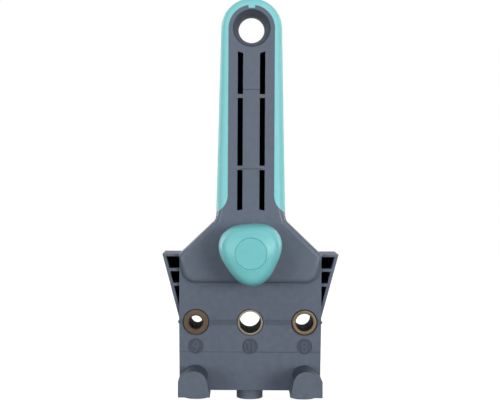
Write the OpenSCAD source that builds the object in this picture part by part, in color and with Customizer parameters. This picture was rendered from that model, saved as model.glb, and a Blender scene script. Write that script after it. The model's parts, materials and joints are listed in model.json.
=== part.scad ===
// Self-centring dowelling jig with a two-component handle and a rack-and-pinion jaw drive.
// Seen from the front, X points right, Y back towards the board and Z up along the handle.
// The origin is on the axis of the middle guide bush, in the face that meets the board.

/* [Guide block] */
// Width of the block at the line of the guide bushes
block_width = 67; // [66:0.5:74]
// How much narrower the block is at its lower end
block_taper = 0.8; // [0:0.1:2]
// Height of the block, half of it on each side of the guide line
block_height = 64; // [63:0.5:70]
// Depth of the block from its front to the face that meets the board
block_depth = 28; // [28:0.5:32]
// Thickness of the block's front wall
front_wall = 3; // [2.5:0.1:3.1]
// Thickness of the block's side walls
side_wall = 2.6; // [2.4:0.1:2.8]
// Thickness of the block's top and bottom walls
end_wall = 3; // [2.5:0.1:3.2]
// Thickness of the plate that meets the board
plate_thickness = 3; // [2.5:0.1:3.2]

/* [Guide bushes] */
// Distance from the middle guide bush to each outer one
guide_pitch = 25.6; // [25.4:0.1:25.9]
// Outer diameter of the guide bushes
bush_diameter = 12; // [11.6:0.1:12.4]
// Bore for a 6 mm drill
small_bore = 6.1; // [6.02:0.01:6.3]
// Bore for an 8 mm drill
medium_bore = 8.1; // [8.02:0.01:8.3]
// Bore for a 10 mm drill
large_bore = 10.1; // [10.02:0.01:10.3]
// Bevel at the front mouth of each bore
bush_bevel = 0.4; // [0.2:0.1:0.6]
// Wall of the moulded sleeve round each guide bush
sleeve_wall = 1.5; // [1.3:0.1:1.6]
// Diameter of the sunk discs that hold the drill sizes
disc_diameter = 7.3; // [6:0.1:8]
// Distance from the guide line down to the discs
disc_drop = 11.3; // [11:0.1:13]
// Width of the groove that joins the guide bushes
guide_groove_width = 2.5; // [1.5:0.1:3.5]

/* [Side wings] */
// Width over both wings at the top of the block
wing_span = 83.4; // [78:0.2:92]
// Height above the guide line where a wing's slope meets the block
wing_root = 1.5; // [0:0.1:4]
// Wall of the wings and of the ribs across their pockets
wing_wall = 1.4; // [1.2:0.1:1.8]
// Distance from one rib to the next
pocket_pitch = 7; // [6:0.1:8]
// Setback of the wings behind the block's front
wing_setback = 2; // [1:0.1:4]

/* [Front feet] */
// How far the feet stand out in front of the block
foot_reach = 20.7; // [15:0.1:26]
// Radius of the arch on top of each foot
foot_radius = 5.9; // [5:0.1:6]
// Height of the arch's centre above the block's lower end
foot_rise = 6; // [5:0.1:7]

/* [Handle] */
// Height of the hang hole's centre above the block
hang_height = 106.5; // [95:0.5:120]
// Half of the handle's width at its round upper end
handle_top_half = 14.35; // [13.8:0.05:15]
// Half of the handle's width at the neck
neck_half = 16.4; // [16.3:0.05:17.2]
// Thickness of the handle from front to back
handle_thickness = 22; // [22:0.1:22.5]
// Half of the width of the dark core between the two grip strips
core_half = 10.9; // [10:0.1:11.2]
// Radius of the handle's rounded long edges at the upper end
top_edge_radius = 3.3; // [3:0.1:3.4]
// Radius of the handle's rounded long edges at the neck
neck_edge_radius = 4.6; // [4:0.1:5]
// Narrowest diameter of the hang hole
hang_hole = 12.3; // [10:0.1:13]
// Diameter of the hang hole at its wide mouth
hang_mouth = 17.8; // [16:0.1:18.4]
// Width of the long slots in the core
slot_width = 2.5; // [2:0.1:3]
// Distance from the middle of the handle to each row of slots
slot_offset = 5.2; // [4.8:0.1:5.6]
// Depth of the long slots
slot_depth = 9.5; // [6:0.1:9.8]

/* [Head] */
// How far the head plate stands in front of the block
head_proud = 3; // [2.8:0.1:3.4]
// How far the head plate reaches down over the block
head_overlap = 13.3; // [13:0.1:15]
// Height of the sloped shoulders above the block
shoulder_height = 18; // [17.5:0.1:20]
// How far under the neck the slope of the shoulders starts
shoulder_drop = 1.6; // [0.5:0.1:2.5]
// Radius of the head's rounded front edges
head_edge_radius = 2.4; // [1.5:0.1:2.6]

/* [Knob and gear] */
// Height of the knob's axis above the block
knob_rise = 1.8; // [1.6:0.1:2.4]
// Mean radius of the lobed knob
knob_radius = 14.45; // [13.5:0.05:16]
// How far the lobes stand out from the mean radius
lobe_height = 1.23; // [0.6:0.01:1.8]
// Height of the knob from its back to its cap
knob_height = 21; // [18:0.1:26]
// Diameter of the cap in the knob
cap_diameter = 14.6; // [13:0.1:15]
// Diameter of the drive shaft in its bush
shaft_diameter = 8; // [7.6:0.1:8.2]
// Module of the pinion and the racks
tooth_module = 1; // [0.98:0.01:1.01]
// Number of teeth on the pinion
pinion_teeth = 14; // [14]
// Depth of the racks from front to back
rack_depth = 6; // [5:0.1:6]

/* [Jaws] */
// Board thickness that the jaws stand at
board = 24; // [16:0.5:32]
// Thinnest board that the jaws centre on
board_min = 12; // [11.8:0.1:16]
// Thickest board that the jaws centre on
board_max = 36; // [32:0.5:36]
// How far the jaws reach over the board
jaw_reach = 20; // [14:0.5:30]
// Width of the jaws
jaw_width = 57; // [50:0.5:60]
// Thickness of the jaws' plates
jaw_wall = 2.4; // [2:0.1:2.4]
// Thickness of the rubber pads
pad_thickness = 1.2; // [0.8:0.1:1.2]
// Diameter of the guide pins
pin_diameter = 6; // [5:0.1:6.2]
// Diameter of the guide pins' heads
pin_head_diameter = 12.5; // [10:0.1:13]
// Height of the guide pins' heads below the block
pin_head_height = 5; // [3:0.1:7]

/* [Hidden] */
// Clearances between pieces
press_gap = 0.01;
running_gap = 0.04;
seat_gap = 0.15;
slide_gap = 0.3;
free_gap = 0.5;
// Overrun of a cut past the face that it opens
overrun = 0.1;
// Thickness of the slices that a blended shape is drawn over
slice = 0.2;

// Main faces
front_y = -block_depth;
head_front = front_y - head_proud;
handle_back = head_front + handle_thickness;
block_top = block_height / 2;
block_bottom = -block_top;
half_width = block_width / 2;
lower_half = half_width - block_taper / 2;
cavity_half = lower_half - side_wall;
cavity_end = block_top - end_wall;
cavity_front = front_y + front_wall;
hang_z = block_top + hang_height;
neck_z = block_top + shoulder_height;
slope_z = neck_z - shoulder_drop;
knob_z = block_top + knob_rise;

// Head plate: step over the block, and its lower corners as shares of its overlap
head_step = 0.4;
head_side_shares = [[0, 0.02], [0.075, 0.36], [0.16, 0.65], [0.25, 0.85], [0.5, 1]];
neck_fillet = 4;
tongue_rise = 7;
tongue_half = neck_half - neck_edge_radius + head_edge_radius;
fillet_steps = 6;
neck_low = neck_z - neck_edge_radius;

// Handle: where the grip ends, its tab in the core, the slots and the pockets in the back
grip_end_share = 0.61;
grip_radius_share = 0.79;
grip_end = neck_z + grip_end_share * neck_half;
grip_end_radius = grip_radius_share * core_half;
tab_half = 1.55;
tab_depth = 1.2;
tab_drop = 1.4;
hang_bore_length = 4;
hang_bevel = 0.7;
slot_foot = 2.8;
slot_low = neck_z + slot_foot;
slot_high = hang_z - core_half;
slot_slant = 0.9;
slot_shares = [[0, 0.255], [0.281, 0.707], [0.731, 1]];
field_shares = [0.259, 0.758];
line_width = 0.35;
line_depth = 0.25;
back_pocket_half = 7.6;
back_pocket_depth = 9;
back_rib = 1.6;
back_pockets = 5;

// Rear plate and its seat
plate_lip = 1;
rail_rise = 0.4;
plate_half = cavity_half + plate_lip;
plate_end = cavity_end + plate_lip;

// Guide bushes, the thin ring round each and the sunk marks
bush_radius = bush_diameter / 2;
sleeve_radius = bush_radius + sleeve_wall;
rim_width = 0.35;
rim_depth = 0.8;
disc_depth = 0.4;
groove_depth = 0.5;
face_line_drop = 13.8;

// Pointed marks on both sides, level with the guide line
mark_half = 0.9;
mark_reach = 0.7;
mark_depth = 6;

// Wall over the wings' uppermost pocket
pocket_top_wall = 0.8 * wing_wall;

// Feet: outline as shares of the arch's radius, from the arch's centre
foot_outer_share = 1.25;
foot_inner_share = 1.22;
foot_arch_shares = [[-0.966, 0.259], [0, 0.5], [0.707, 0.707], [foot_outer_share, 0.21]];

// Gear train, with short rack teeth so that the pinion needs no undercut
pressure_angle = 20;
backlash_share = 0.08;
rack_addendum_share = 0.8;
dedendum_share = 1.25;
pitch_radius = tooth_module * pinion_teeth / 2;
tip_radius = pitch_radius + tooth_module;
root_radius = pitch_radius - tooth_module * dedendum_share;
base_radius = pitch_radius * cos(pressure_angle);
tooth_pitch = PI * tooth_module;
rack_tip = pitch_radius - tooth_module * rack_addendum_share;
rack_root = pitch_radius + tooth_module * dedendum_share;
rack_thickness = 5.3;
rack_back = rack_root + rack_thickness;
chamber_half = rack_back + slide_gap;

// Depth stack from the back of the handle to the racks
cover_thickness = 2.5;
cover_boss = 1.2;
cover_front = handle_back - cover_thickness;
rack_rear = cover_front - cover_boss - slide_gap;
rack_front = rack_rear - rack_depth;
pinion_rear = rack_rear + slide_gap / 2;
pinion_front = rack_front - slide_gap / 2;
carriage_back = -plate_thickness - free_gap;
carriage_depth = 5;
carriage_front = carriage_back - carriage_depth;

// Guide pins, and the carriage wall round them
pin_radius = pin_diameter / 2;
pin_wall = 1.2;
pin_side_gap = 0.7;
pin_setback = 2;
pin_y = (rack_rear + rack_front) / 2 - pin_setback;
pin_carriage_front = pin_y - pin_radius - pin_wall / 2;
pin_x = cavity_half - pin_side_gap - pin_wall - pin_radius;
pin_carriage_half = pin_x + pin_radius + pin_wall;
pin_top = -sleeve_radius - slide_gap;

// Jaws: half of the board's thickness at rest and at both ends of the travel
opening = board / 2;
opening_min = board_min / 2;
opening_max = board_max / 2;
travel = max(opening_max - opening, opening - opening_min);
jaw_height = 8.5;
jaw_front = slide_gap + running_gap;
jaw_back = jaw_front + jaw_reach;
gusset_wall = 1.6;
gusset_offset = 5;
gusset_toe = 1;
pad_inset = 1;
pad_groove_width = 0.8;
pad_groove_share = 0.35;
pad_grooves = 5;
carriage_drop = 3.7;
carriage_height = 5;
carriage_half = 18.4;
web_inset = free_gap;
web_inner = sleeve_radius + free_gap + slide_gap;
web_outer = guide_pitch - sleeve_radius - free_gap - slide_gap;
web_middle = (web_inner + web_outer) / 2;
web_low = carriage_drop + web_inset;
web_high = carriage_drop + carriage_height - web_inset;
jaw_screw_rise = carriage_drop + carriage_height / 2;

// Toothed stretch of the racks and the chamber that they run in
mesh_half = tooth_module * rack_addendum_share / tan(pressure_angle);
rack_teeth_half = ceil((mesh_half + travel) / tooth_pitch);
rack_top = knob_z + rack_teeth_half * tooth_pitch + free_gap;
chamber_top = rack_top + travel + free_gap;
pinion_room_top = knob_z + tip_radius + 2 * free_gap;

// Case screws and small screws
screw_radius = 1.75;
screw_head_radius = 3;
screw_head_height = 1.8;
screw_gap = 0.2;
small_screw_radius = 1.5;
small_head_radius = 2.5;
small_head_height = 1.6;
socket_share = 0.55;

// Screws that hold the handle: two through the block's front wall, two upright ones
head_screw_inset = 9.5;
head_screw_drop_share = 0.72;
head_screw_x = cavity_half - head_screw_inset;
head_screw_z = block_top - head_screw_drop_share * head_overlap;
head_pin_radius = 3.2;
head_pin_depth = 6;
head_boss_radius = 4.5;
head_boss_floor = 2;
head_pin_end = cavity_front + head_pin_depth;
head_boss_end = head_pin_end + head_boss_floor;
upright_screw_inset = 6.5;
upright_screw_x = cavity_half - upright_screw_inset;
upright_screw_y = rack_rear;
upright_reach = 5;

// Corner bosses for the rear plate's screws
corner_boss_radius = 3.2;
corner_boss_length = 5.8;
corner_x = cavity_half - corner_boss_radius;
corner_z = cavity_end - corner_boss_radius - slide_gap;

// Gear cover: its ears on the shoulders and its screws
cover_lip = 1.5;
cover_half = chamber_half + cover_lip;
cover_drop = 4;
cover_top = chamber_top + cover_lip;
ear_length = 5.05;
ear_rise = 2;
ear_height = 7;
ear_half = cover_half + ear_length;
ear_low = block_top + ear_rise;
ear_high = ear_low + ear_height;
ear_screw_x = ear_half - small_head_radius - slide_gap;
ear_screw_z = ear_high - small_head_radius - slide_gap;
cover_post_radius = 3.4;
cover_post_z = (pinion_room_top + chamber_top) / 2;
cover_screw_reach = 6;

// Shaft, its bush and the knob
shaft_radius = shaft_diameter / 2;
seat_radius = shaft_radius - free_gap;
tail_radius = 2.5;
tail_boss_radius = 5;
bush_wall = 2;
bush_flange = 7.8;
bush_flange_height = 1;
shaft_boss_radius = 8;
shaft_boss_height = 2;
clip_thickness = 1;
clip_radius = 6.2;
clip_groove = 0.4;
knob_gap = 1;
knob_back = head_front - knob_gap;
knob_front = knob_back - knob_height;
shaft_front = knob_back - knob_height / 2;
knob_web = 2;
knob_screw_seat = shaft_front - knob_web;
knob_screw_reach = 10;
cap_radius = cap_diameter / 2;
cap_thickness = 2;
cap_dish_share = 5;
dish_steps = 6;
washer_inner = shaft_radius + slide_gap;
washer_outer = 10;
washer_sheet = 0.5;

// Knob: lobes, their turn from the X axis, and rings as height, radius and lobe shares
lobes = 3;
knob_turn = 35;
knob_steps = 60;
knob_shares = [[0, 0.943, 1], [0.043, 0.985, 1], [0.12, 1, 1], [0.52, 1, 1], [0.71, 0.99, 1],
    [0.82, 0.955, 1], [0.89, 0.905, 0.95], [0.93, 0.85, 0.85], [0.955, 0.78, 0.7],
    [0.972, 0.7, 0.45], [0.986, 0.62, 0.2], [1, 0.54, 0]];

dark = [0.36, 0.4, 0.45];
darker = [0.25, 0.28, 0.33];
turquoise = [0.45, 0.79, 0.81];
steel = [0.72, 0.73, 0.75];
bronze = [0.55, 0.48, 0.38];
rubber = [0.12, 0.12, 0.13];
$fn = 64;

// Extrudes an outline drawn in X and Z between two depths
module slab(front, back) translate([0, back, 0]) rotate([90, 0, 0])
    linear_extrude(back - front) children();

// Round bar along Y
module rod(x, z, front, back, r) translate([x, back, z]) rotate([90, 0, 0])
    cylinder(h = back - front, r = r);

// Cone along Y
module cone(x, z, front, back, r_front, r_back) translate([x, back, z]) rotate([90, 0, 0])
    cylinder(h = back - front, r1 = r_back, r2 = r_front);

// Block between two corners
module box(x0, x1, y0, y1, z0, z1) translate([x0, y0, z0]) cube([x1 - x0, y1 - y0, z1 - z0]);

module both_sides() {
    children();
    mirror([1, 0, 0]) children();
}

// Upright screw or a screw along Y: the head on the seat, with its six-sided socket
module screw(reach, r, head_r, head_h) {
    translate([0, 0, -reach]) cylinder(h = reach, r = r);
    difference() {
        cylinder(h = head_h, r = head_r);
        translate([0, 0, head_h * (1 - socket_share)])
            cylinder(h = head_h, r = head_r * socket_share, $fn = 6);
    }
}

// Screw whose head faces the back, with its seat at a depth
module back_screw(x, seat, z, reach, r, head_r, head_h)
    translate([x, seat, z]) rotate([-90, 0, 0]) screw(reach, r, head_r, head_h);

// Outline of the head plate: the sloped shoulders and the rounded lower corners
function head_side() = concat([[neck_half, slope_z]], [for (s = head_side_shares)
    [half_width + head_step - s[0] * head_overlap, block_top - s[1] * head_overlap]]);
function mirrored(points) = [for (i = [len(points) - 1:-1:0]) [-points[i][0], points[i][1]]];

module head_outline() polygon(concat(head_side(), mirrored(head_side())));

// Outline of the tongue that flares the handle's flat front into the head
function tongue_side() = [
    [tongue_half, neck_z + tongue_rise], [neck_half, slope_z], [neck_half, knob_z]
];
module tongue_outline() polygon(concat(tongue_side(), mirrored(tongue_side())));

// Plate over an outline, its edge rounded by slices that shrink towards the front
module rounded_plate() hull() {
    for (turn = [0:18:90])
        slab(head_front + head_edge_radius * (1 - cos(turn)),
            head_front + head_edge_radius * (1 - cos(turn)) + slice)
            offset(delta = -head_edge_radius * (1 - sin(turn))) children();
    slab(front_y - slice, front_y) children();
}

// Right edge of the shoulders, with the hollow fillet where the slope meets the handle
shoulder_slope = atan2(slope_z - head_side()[1][1], head_side()[1][0] - neck_half);
fillet_reach = neck_fillet * tan((90 - shoulder_slope) / 2);
fillet_x = neck_half - fillet_reach * (neck_half - handle_top_half) / (hang_z - neck_low);
fillet_z = slope_z + (neck_half - fillet_x) * tan(shoulder_slope) + fillet_reach;
function shoulder_side() = concat([[fillet_x - overrun, fillet_z]],
    [for (i = [0:fillet_steps]) let (turn = 180 + i * (90 - shoulder_slope) / fillet_steps)
        [fillet_x + neck_fillet * (1 + cos(turn)), fillet_z + neck_fillet * sin(turn)]],
    [[neck_half + (slope_z - block_top) / tan(shoulder_slope), block_top]]);

// Shoulders behind the plate, standing on the block
module shoulders() slab(head_front + head_edge_radius, handle_back)
    polygon(concat(shoulder_side(), mirrored(shoulder_side())));

// Cross-section of the handle as a thin slice with rounded corners
module handle_slice(z, half, r)
    for (x = [-half + r, half - r], y = [head_front + r, handle_back - r])
        translate([x, y, z]) cylinder(h = slice, r = r, $fn = 32);

// Half of the cross-section of the handle's round upper end
module end_profile() {
    r = top_edge_radius;
    square([handle_top_half - r, handle_thickness]);
    translate([0, r]) square([handle_top_half, handle_thickness - 2 * r]);
    for (h = [r, handle_thickness - r]) translate([handle_top_half - r, h]) circle(r);
}

// Outer form of the handle, core and grip together
module handle_form() {
    hull() {
        handle_slice(hang_z - slice, handle_top_half, top_edge_radius);
        handle_slice(neck_low, neck_half, neck_edge_radius);
    }
    translate([0, handle_back, hang_z]) rotate([90, 0, 0]) rotate_extrude() end_profile();
}

// Outline of the dark core: a straight strip that flares round the ends of the grip
module core_outline() {
    translate([0, hang_z]) circle(core_half);
    translate([-core_half, grip_end - overrun])
        square([2 * core_half, hang_z - grip_end + overrun]);
    difference() {
        translate([-half_width, block_top]) square([block_width, grip_end - block_top]);
        for (side = [-1, 1])
            translate([side * (core_half + grip_end_radius), grip_end]) circle(grip_end_radius);
    }
}

// The head below the top of the block, wider than the block by the step
module head_foot_outline() translate([-half_width - free_gap, block_top - head_overlap - overrun])
    square([block_width + 2 * free_gap, neck_z - block_top + head_overlap]);

// Small tab of the grip let into the core's upper edge
module grip_tab() box(-tab_half, tab_half, head_front, head_front + tab_depth,
    hang_z + core_half - tab_drop, hang_z + core_half + tab_drop / 2);

// Waisted hang hole with a true bore at its middle
module hang_cut() {
    narrow = hang_hole / 2;
    mouth = hang_mouth / 2;
    waist = (handle_thickness - hang_bore_length) / 2;
    translate([0, handle_back, hang_z]) rotate([90, 0, 0]) {
        translate([0, 0, -overrun]) cylinder(h = handle_thickness + 2 * overrun, r = narrow);
        for (end = [0, 1]) translate([0, 0, end * handle_thickness]) mirror([0, 0, end])
            rotate_extrude() polygon([[0, -overrun], [mouth, -overrun], [mouth, 0],
                [mouth - hang_bevel, hang_bevel], [narrow, waist], [0, waist]]);
    }
}

// Two rows of long slots in the core's front, slanted at both ends of a row
module slot_cuts() both_sides() for (s = slot_shares) {
    low = slot_low + s[0] * (slot_high - slot_low);
    high = slot_low + s[1] * (slot_high - slot_low);
    inner = slot_offset - slot_width / 2;
    outer = slot_offset + slot_width / 2;
    slab(head_front - overrun, head_front + slot_depth) polygon([
        [inner, low + (s[0] == 0 ? slot_slant / 2 : 0)], [outer, low],
        [outer, high], [inner, high - (s[1] == 1 ? slot_slant : 0)]
    ]);
}

// Two fine lines that end the bare field between the slots
module field_lines_cut() for (s = field_shares)
    box(-slot_offset, slot_offset, head_front - overrun, head_front + line_depth,
        slot_low + s * (slot_high - slot_low), slot_low + s * (slot_high - slot_low) + line_width);

// Pockets that core out the back of the handle, with ribs between them
module back_pockets_cut() {
    low = cover_top + cover_lip;
    high = hang_z - hang_mouth / 2 - cover_lip;
    pitch = (high - low + back_rib) / back_pockets;
    for (i = [0:back_pockets - 1])
        box(-back_pocket_half, back_pocket_half, handle_back - back_pocket_depth,
            handle_back + overrun, low + i * pitch, low + (i + 1) * pitch - back_rib);
}

// Chamber for the pinion and for the run of the racks, open to the back and below
module chamber_cut() {
    box(-chamber_half, chamber_half, front_y, handle_back + overrun,
        block_top - overrun, pinion_room_top);
    box(-chamber_half, chamber_half, rack_front - slide_gap, handle_back + overrun,
        block_top - overrun, chamber_top);
}

// Outline of the gear cover, let out by a gap where it is used as a cut
module cover_outline(gap) {
    translate([-cover_half - gap, block_top + seat_gap - gap])
        square([2 * (cover_half + gap), cover_top - block_top - seat_gap + 2 * gap]);
    translate([-ear_half - gap, ear_low - gap])
        square([2 * (ear_half + gap), ear_high - ear_low + 2 * gap]);
}

module handle_frame() color(dark) difference() {
    union() {
        intersection() {
            union() {
                handle_form();
                rounded_plate() head_outline();
                rounded_plate() tongue_outline();
            }
            slab(head_front - overrun, handle_back + overrun) {
                core_outline();
                head_foot_outline();
            }
        }
        shoulders();
        rod(0, knob_z, front_y - overrun, front_y + shaft_boss_height, shaft_boss_radius);
        both_sides() rod(head_screw_x, head_screw_z, front_y - overrun, head_pin_end - slide_gap,
            head_pin_radius);
    }
    difference() {
        chamber_cut();
        rod(0, knob_z, front_y - overrun, front_y + shaft_boss_height, shaft_boss_radius);
        rod(0, cover_post_z, rack_front - free_gap, cover_front, cover_post_radius);
    }
    rod(0, knob_z, head_front - overrun, front_y + shaft_boss_height + overrun,
        shaft_radius + bush_wall + press_gap);
    slab(cover_front, handle_back + overrun) cover_outline(seat_gap);
    rod(0, cover_post_z, cover_front - cover_screw_reach, cover_front + overrun,
        small_screw_radius + press_gap);
    both_sides() {
        rod(ear_screw_x, ear_screw_z, cover_front - cover_screw_reach, cover_front + overrun,
            small_screw_radius + press_gap);
        rod(head_screw_x, head_screw_z, front_y - head_proud / 2, head_pin_end,
            screw_radius + press_gap);
        translate([upright_screw_x, upright_screw_y, block_top - overrun])
            cylinder(h = upright_reach + overrun, r = screw_radius + press_gap);
    }
    hang_cut();
    slot_cuts();
    field_lines_cut();
    back_pockets_cut();
    grip_tab();
}

module handle_grip() color(turquoise) {
    difference() {
        handle_form();
        slab(head_front - overrun, handle_back + overrun) core_outline();
    }
    grip_tab();
}

// Front view of one wing, and the height of its slope's foot
module wing_outline() polygon([
    [half_width - overrun, wing_root], [half_width, wing_root],
    [wing_span / 2, block_top], [half_width - overrun, block_top]
]);

// Blind pockets of one wing, between the ribs and inside the sloped wall
module wing_pockets() {
    slope = (wing_span / 2 - half_width) / (block_top - wing_root);
    inset = wing_wall * sqrt(1 + slope * slope);
    toe = wing_root + inset / slope;
    for (i = [0:2]) {
        high = block_top - pocket_top_wall - i * pocket_pitch;
        low = i < 2 ? high - pocket_pitch + wing_wall : toe;
        polygon([
            [half_width, low],
            [half_width + (low - toe) * slope, low],
            [half_width + (high - toe) * slope, high],
            [half_width, high]
        ]);
    }
}

module wings() both_sides() difference() {
    slab(front_y + wing_setback, 0) wing_outline();
    slab(front_y + wing_setback - overrun, -wing_wall) wing_pockets();
}

// Front view of one foot: an arch with a steep inner side and a sloped outer shoulder
module foot_outline() translate([guide_pitch, block_bottom + foot_rise]) {
    circle(foot_radius);
    polygon(concat([[-foot_inner_share * foot_radius, -foot_rise]],
        foot_arch_shares * foot_radius, [[foot_outer_share * foot_radius, -foot_rise]]));
}

module feet() both_sides() intersection() {
    slab(front_y - foot_reach, front_y + overrun) foot_outline();
    box(0, half_width, front_y - foot_reach, 0, block_bottom, block_top);
}

module block_outline() polygon([
    [half_width, block_top], [half_width, 0], [lower_half, block_bottom],
    [-lower_half, block_bottom], [-half_width, 0], [-half_width, block_top]
]);

// Pointed marks that show the guide line at both sides of the block
module side_marks() both_sides() slab(front_y, front_y + mark_depth) polygon([
    [half_width - overrun, mark_half], [half_width + mark_reach, 0],
    [half_width - overrun, -mark_half]
]);

// Sleeves of the guide bushes and the bosses of the screws, inside the block
module block_bosses() {
    for (x = [-guide_pitch, 0, guide_pitch])
        rod(x, 0, cavity_front - overrun, -plate_thickness, sleeve_radius);
    both_sides() {
        rod(head_screw_x, head_screw_z, cavity_front - overrun, head_boss_end, head_boss_radius);
        for (end = [-1, 1]) {
            rod(corner_x, end * corner_z, -plate_thickness - corner_boss_length,
                -plate_thickness, corner_boss_radius);
            box(corner_x, cavity_half + overrun, -plate_thickness - corner_boss_length,
                -plate_thickness, end * corner_z - corner_boss_radius,
                end * corner_z + corner_boss_radius);
            box(corner_x - corner_boss_radius, cavity_half, -plate_thickness - corner_boss_length,
                -plate_thickness, end > 0 ? corner_z : -cavity_end - overrun,
                end > 0 ? cavity_end + overrun : -corner_z);
        }
    }
}

module guide_body() color(dark) difference() {
    union() {
        difference() {
            slab(front_y, 0) block_outline();
            box(-cavity_half, cavity_half, cavity_front, overrun, -cavity_end, cavity_end);
        }
        block_bosses();
        wings();
        feet();
        side_marks();
    }
    box(-plate_half, plate_half, -plate_thickness, overrun, -plate_end, plate_end);
    for (x = [-guide_pitch, 0, guide_pitch]) {
        rod(x, 0, front_y - overrun, 0, bush_radius + press_gap);
        rod(x, 0, front_y - overrun, front_y + rim_depth, bush_radius + rim_width);
        rod(x, -disc_drop, front_y - overrun, front_y + disc_depth, disc_diameter / 2);
    }
    for (x = [-pin_x, 0, pin_x]) translate([x, pin_y, block_bottom - overrun])
        cylinder(h = end_wall + 2 * overrun, r = pin_radius + press_gap);
    box(-half_width - overrun, half_width + overrun, front_y - overrun, front_y + groove_depth,
        -guide_groove_width / 2, guide_groove_width / 2);
    box(-half_width - overrun, half_width + overrun, front_y - overrun, front_y + line_depth,
        -face_line_drop - line_width, -face_line_drop);
    box(-chamber_half, chamber_half, front_y - overrun, handle_back + slide_gap,
        knob_z - shaft_boss_radius - slide_gap, block_top + overrun);
    both_sides() {
        rod(head_screw_x, head_screw_z, front_y - overrun, head_pin_end,
            head_pin_radius + seat_gap);
        rod(head_screw_x, head_screw_z, front_y, head_boss_end + overrun,
            screw_radius + screw_gap);
        translate([upright_screw_x, upright_screw_y, cavity_end - overrun])
            cylinder(h = end_wall + 2 * overrun, r = screw_radius + screw_gap);
        for (end = [-1, 1])
            rod(corner_x, end * corner_z, -plate_thickness - corner_boss_length - overrun,
                -plate_thickness + overrun, screw_radius + press_gap);
    }
}

// Windows of the rear plate, one for each web of the two carriages
module window_outline() translate([web_inner - slide_gap, opening_min + web_low - slide_gap])
    square([web_outer - web_inner + 2 * slide_gap,
        opening_max - opening_min + web_high - web_low + 2 * slide_gap]);

// Plate with a raised rail along the guide line, which the board's edge rests on
module rear_plate() color(darker) difference() {
    rail_half = opening_min - slide_gap;
    union() {
        slab(-plate_thickness, -rail_rise) difference() {
            translate([-plate_half + seat_gap, -plate_end + seat_gap])
                square(2 * [plate_half - seat_gap, plate_end - seat_gap]);
            for (side = [0, 1], end = [0, 1]) mirror([side, 0]) mirror([0, end]) window_outline();
        }
        box(-plate_half + seat_gap, plate_half - seat_gap, -plate_thickness, 0,
            -rail_half, rail_half);
    }
    for (x = [-guide_pitch, 0, guide_pitch])
        rod(x, 0, -plate_thickness - overrun, overrun, bush_radius + running_gap);
    for (side = [-1, 1], end = [-1, 1]) {
        rod(side * corner_x, end * corner_z, -plate_thickness - overrun, overrun,
            screw_radius + screw_gap);
        rod(side * corner_x, end * corner_z, -screw_head_height - screw_gap, overrun,
            screw_head_radius + screw_gap);
    }
}

module rear_plate_screws() color(steel)
    for (side = [-1, 1], end = [-1, 1])
        back_screw(side * corner_x, -screw_head_height - screw_gap, end * corner_z,
            plate_thickness + corner_boss_length - screw_head_height - 2 * screw_gap,
            screw_radius, screw_head_radius, screw_head_height);

module head_screws() color(steel) both_sides() {
    back_screw(head_screw_x, head_boss_end, head_screw_z, head_boss_end - front_y,
        screw_radius, screw_head_radius, screw_head_height);
    translate([upright_screw_x, upright_screw_y, cavity_end]) mirror([0, 0, 1])
        screw(end_wall + upright_reach - free_gap, screw_radius, screw_head_radius,
            screw_head_height);
}

// Hardened guide bush with a beveled bore
module guide_bush(x, bore) color(steel) difference() {
    rod(x, 0, front_y, 0, bush_radius);
    rod(x, 0, front_y - overrun, overrun, bore / 2);
    cone(x, 0, front_y, front_y + bush_bevel, bore / 2 + bush_bevel, bore / 2);
}

module bushing_6() guide_bush(-guide_pitch, small_bore);
module bushing_8() guide_bush(guide_pitch, medium_bore);
module bushing_10() guide_bush(0, large_bore);

module gear_cover() color(darker) difference() {
    union() {
        slab(cover_front, handle_back) cover_outline(0);
        box(-chamber_half + seat_gap, chamber_half - seat_gap, cover_front, handle_back,
            block_top - cover_drop, block_top + 2 * seat_gap);
        rod(0, knob_z, cover_front - cover_boss, cover_front + overrun, tail_boss_radius);
    }
    rod(0, knob_z, cover_front - cover_boss - overrun, handle_back + overrun,
        tail_radius + running_gap);
    for (p = [[0, cover_post_z], [ear_screw_x, ear_screw_z], [-ear_screw_x, ear_screw_z]]) {
        rod(p[0], p[1], cover_front - overrun, handle_back + overrun,
            small_screw_radius + screw_gap);
        rod(p[0], p[1], handle_back - small_head_height, handle_back + overrun,
            small_head_radius + screw_gap);
    }
}

module gear_cover_screws() color(steel)
    for (p = [[0, cover_post_z], [ear_screw_x, ear_screw_z], [-ear_screw_x, ear_screw_z]])
        back_screw(p[0], handle_back - small_head_height, p[1],
            cover_thickness - small_head_height + cover_screw_reach - free_gap,
            small_screw_radius, small_head_radius, small_head_height);

// Flanged bush, pushed into the head from behind
module shaft_bush() color(bronze) difference() {
    union() {
        rod(0, knob_z, head_front, front_y + shaft_boss_height + overrun,
            shaft_radius + bush_wall);
        rod(0, knob_z, front_y + shaft_boss_height,
            front_y + shaft_boss_height + bush_flange_height, bush_flange);
    }
    rod(0, knob_z, head_front - overrun, front_y + shaft_boss_height + bush_flange_height + overrun,
        shaft_radius + running_gap);
}

// Dished spring washer: its inner edge on the head, its outer edge under the knob
module friction_washer() color(steel) translate([0, head_front, knob_z]) rotate([90, 0, 0])
    rotate_extrude() polygon([[washer_inner, 0], [washer_inner, washer_sheet],
        [washer_outer, knob_gap - running_gap], [washer_outer, knob_gap - running_gap - washer_sheet]]);

// Guide pin with the thick round head that shows below the block
module guide_pin(x) color(darker) {
    translate([x, pin_y, block_bottom]) cylinder(h = pin_top - block_bottom, r = pin_radius);
    translate([x, pin_y, block_bottom - pin_head_height])
        cylinder(h = pin_head_height, r = pin_head_diameter / 2);
}

module guide_pin_left() guide_pin(-pin_x);
module guide_pin_middle() guide_pin(0);
module guide_pin_right() guide_pin(pin_x);

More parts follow.
